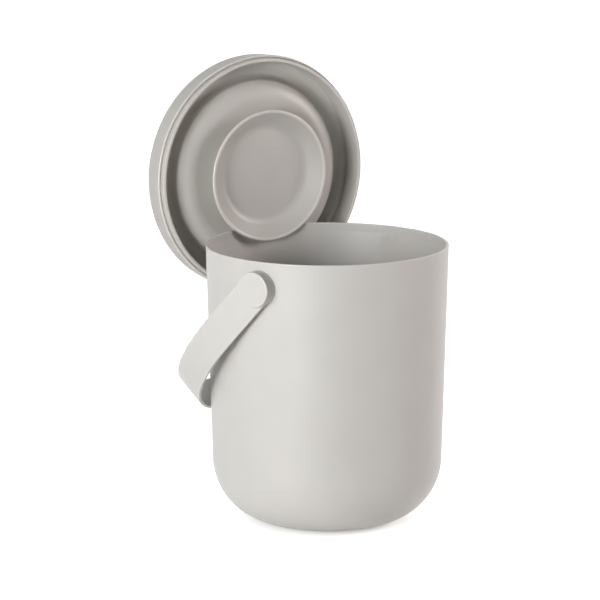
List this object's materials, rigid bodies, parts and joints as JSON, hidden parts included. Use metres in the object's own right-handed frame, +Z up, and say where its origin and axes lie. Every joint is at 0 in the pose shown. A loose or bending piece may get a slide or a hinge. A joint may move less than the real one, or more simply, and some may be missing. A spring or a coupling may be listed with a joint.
{
  "type": "compost caddy",
  "caption": "Round tapered compost caddy with a strap bail on button pivots and a loose lid that hangs upright on its rim by a flared dish.",
  "frame": {"origin": "on the caddy's axis, on the flat face that it stands on", "axes": "+Z up, X along the bail's pivot axis, the bail rests on the +Y side and the lid hangs between +Y and +X"},
  "size_m": [0.2186, 0.2208, 0.3285],
  "materials": {
    "caddy_plastic": "fine matt moulded",
    "strap_plastic": "smooth matt",
    "button_plastic": "smooth matt",
    "lid_plastic": "fine matt moulded",
    "seal_silicone": "soft satin silicone"
  },
  "bodies": {
    "caddy": {"caddy_body": "caddy_plastic", "pivot_button_left": "button_plastic", "pivot_button_right": "button_plastic"},
    "bail": {"handle_strap": "strap_plastic"},
    "lid": {"lid_shell": "lid_plastic", "lid_seal": "seal_silicone", "hanging_dish": "lid_plastic", "grip_knob": "lid_plastic"}
  },
  "joints": [
    {"name": "bail_swing", "type": "hinge", "parent": "caddy", "child": "bail", "pos_m": [0, 0, 0.1837], "axis": [1, 0, 0], "range_deg": [0, 26]},
    {"name": "lid_lift", "type": "slide", "parent": "caddy", "child": "lid", "axis": [0.0213, 0.0478, 0.9986], "range_m": [0, 0.12]}
  ]
}
